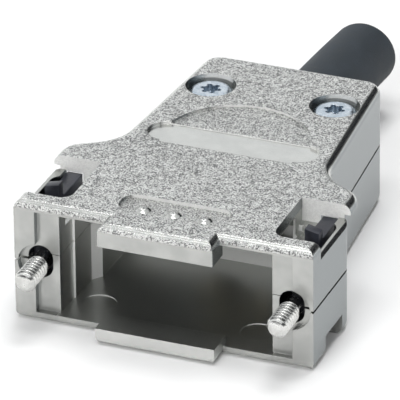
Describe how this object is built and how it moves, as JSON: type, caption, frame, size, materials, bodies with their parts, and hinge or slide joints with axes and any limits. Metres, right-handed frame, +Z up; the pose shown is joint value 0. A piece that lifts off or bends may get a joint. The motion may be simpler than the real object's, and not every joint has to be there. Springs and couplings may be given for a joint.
{
  "type": "d-sub hood",
  "caption": "Metal cable hood for a D-sub connector, with cast shells, captive jackscrews in sliding carriers, a cable clamp inside and a rubber cable sleeve.",
  "frame": {"origin": "centre of the part's footprint, on the flat underside of the lower shell", "axes": "+X across the hood, +Y from the plug face towards the cable sleeve, +Z up through the upper shell"},
  "size_m": [0.0396, 0.0746, 0.0166],
  "materials": {
    "plated_zinc": "nickel-plated die-cast zinc, coarse and sparkling on top, smooth at the sides",
    "screw_steel": "bright zinc-plated steel",
    "jackscrew_steel": "turned, nickel-plated steel",
    "clamp_steel": "stamped, plated steel",
    "ferrule_brass": "turned brass",
    "carrier_plastic": "black moulded plastic",
    "sleeve_rubber": "dark grey rubber, matt"
  },
  "bodies": {
    "hood": {"upper_shell": "plated_zinc", "lower_shell": "plated_zinc", "shell_screw_left": "screw_steel", "shell_screw_right": "screw_steel", "cable_sleeve": "sleeve_rubber", "cable_ferrule": "ferrule_brass", "clamp_top": "clamp_steel", "clamp_bottom": "clamp_steel", "clamp_screw_left": "screw_steel", "clamp_screw_right": "screw_steel", "clamp_nut_left": "clamp_steel", "clamp_nut_right": "clamp_steel"},
    "carrier_left": {"screw_carrier_left": "carrier_plastic"},
    "carrier_right": {"screw_carrier_right": "carrier_plastic"},
    "jackscrew_left": {"jackscrew_left": "jackscrew_steel"},
    "jackscrew_right": {"jackscrew_right": "jackscrew_steel"}
  },
  "joints": [
    {"name": "carrier_slide_left", "type": "slide", "parent": "hood", "child": "carrier_left", "axis": [0, 1, 0], "range_m": [0, 0.0024]},
    {"name": "carrier_slide_right", "type": "slide", "parent": "hood", "child": "carrier_right", "axis": [0, 1, 0], "range_m": [0, 0.0024]},
    {"name": "jackscrew_spin_left", "type": "hinge", "parent": "carrier_left", "child": "jackscrew_left", "pos_m": [-0.01666, -0.0265, 0.00785], "axis": [0, 1, 0], "continuous": true},
    {"name": "jackscrew_spin_right", "type": "hinge", "parent": "carrier_right", "child": "jackscrew_right", "pos_m": [0.01666, -0.0265, 0.00785], "axis": [0, 1, 0], "continuous": true}
  ]
}
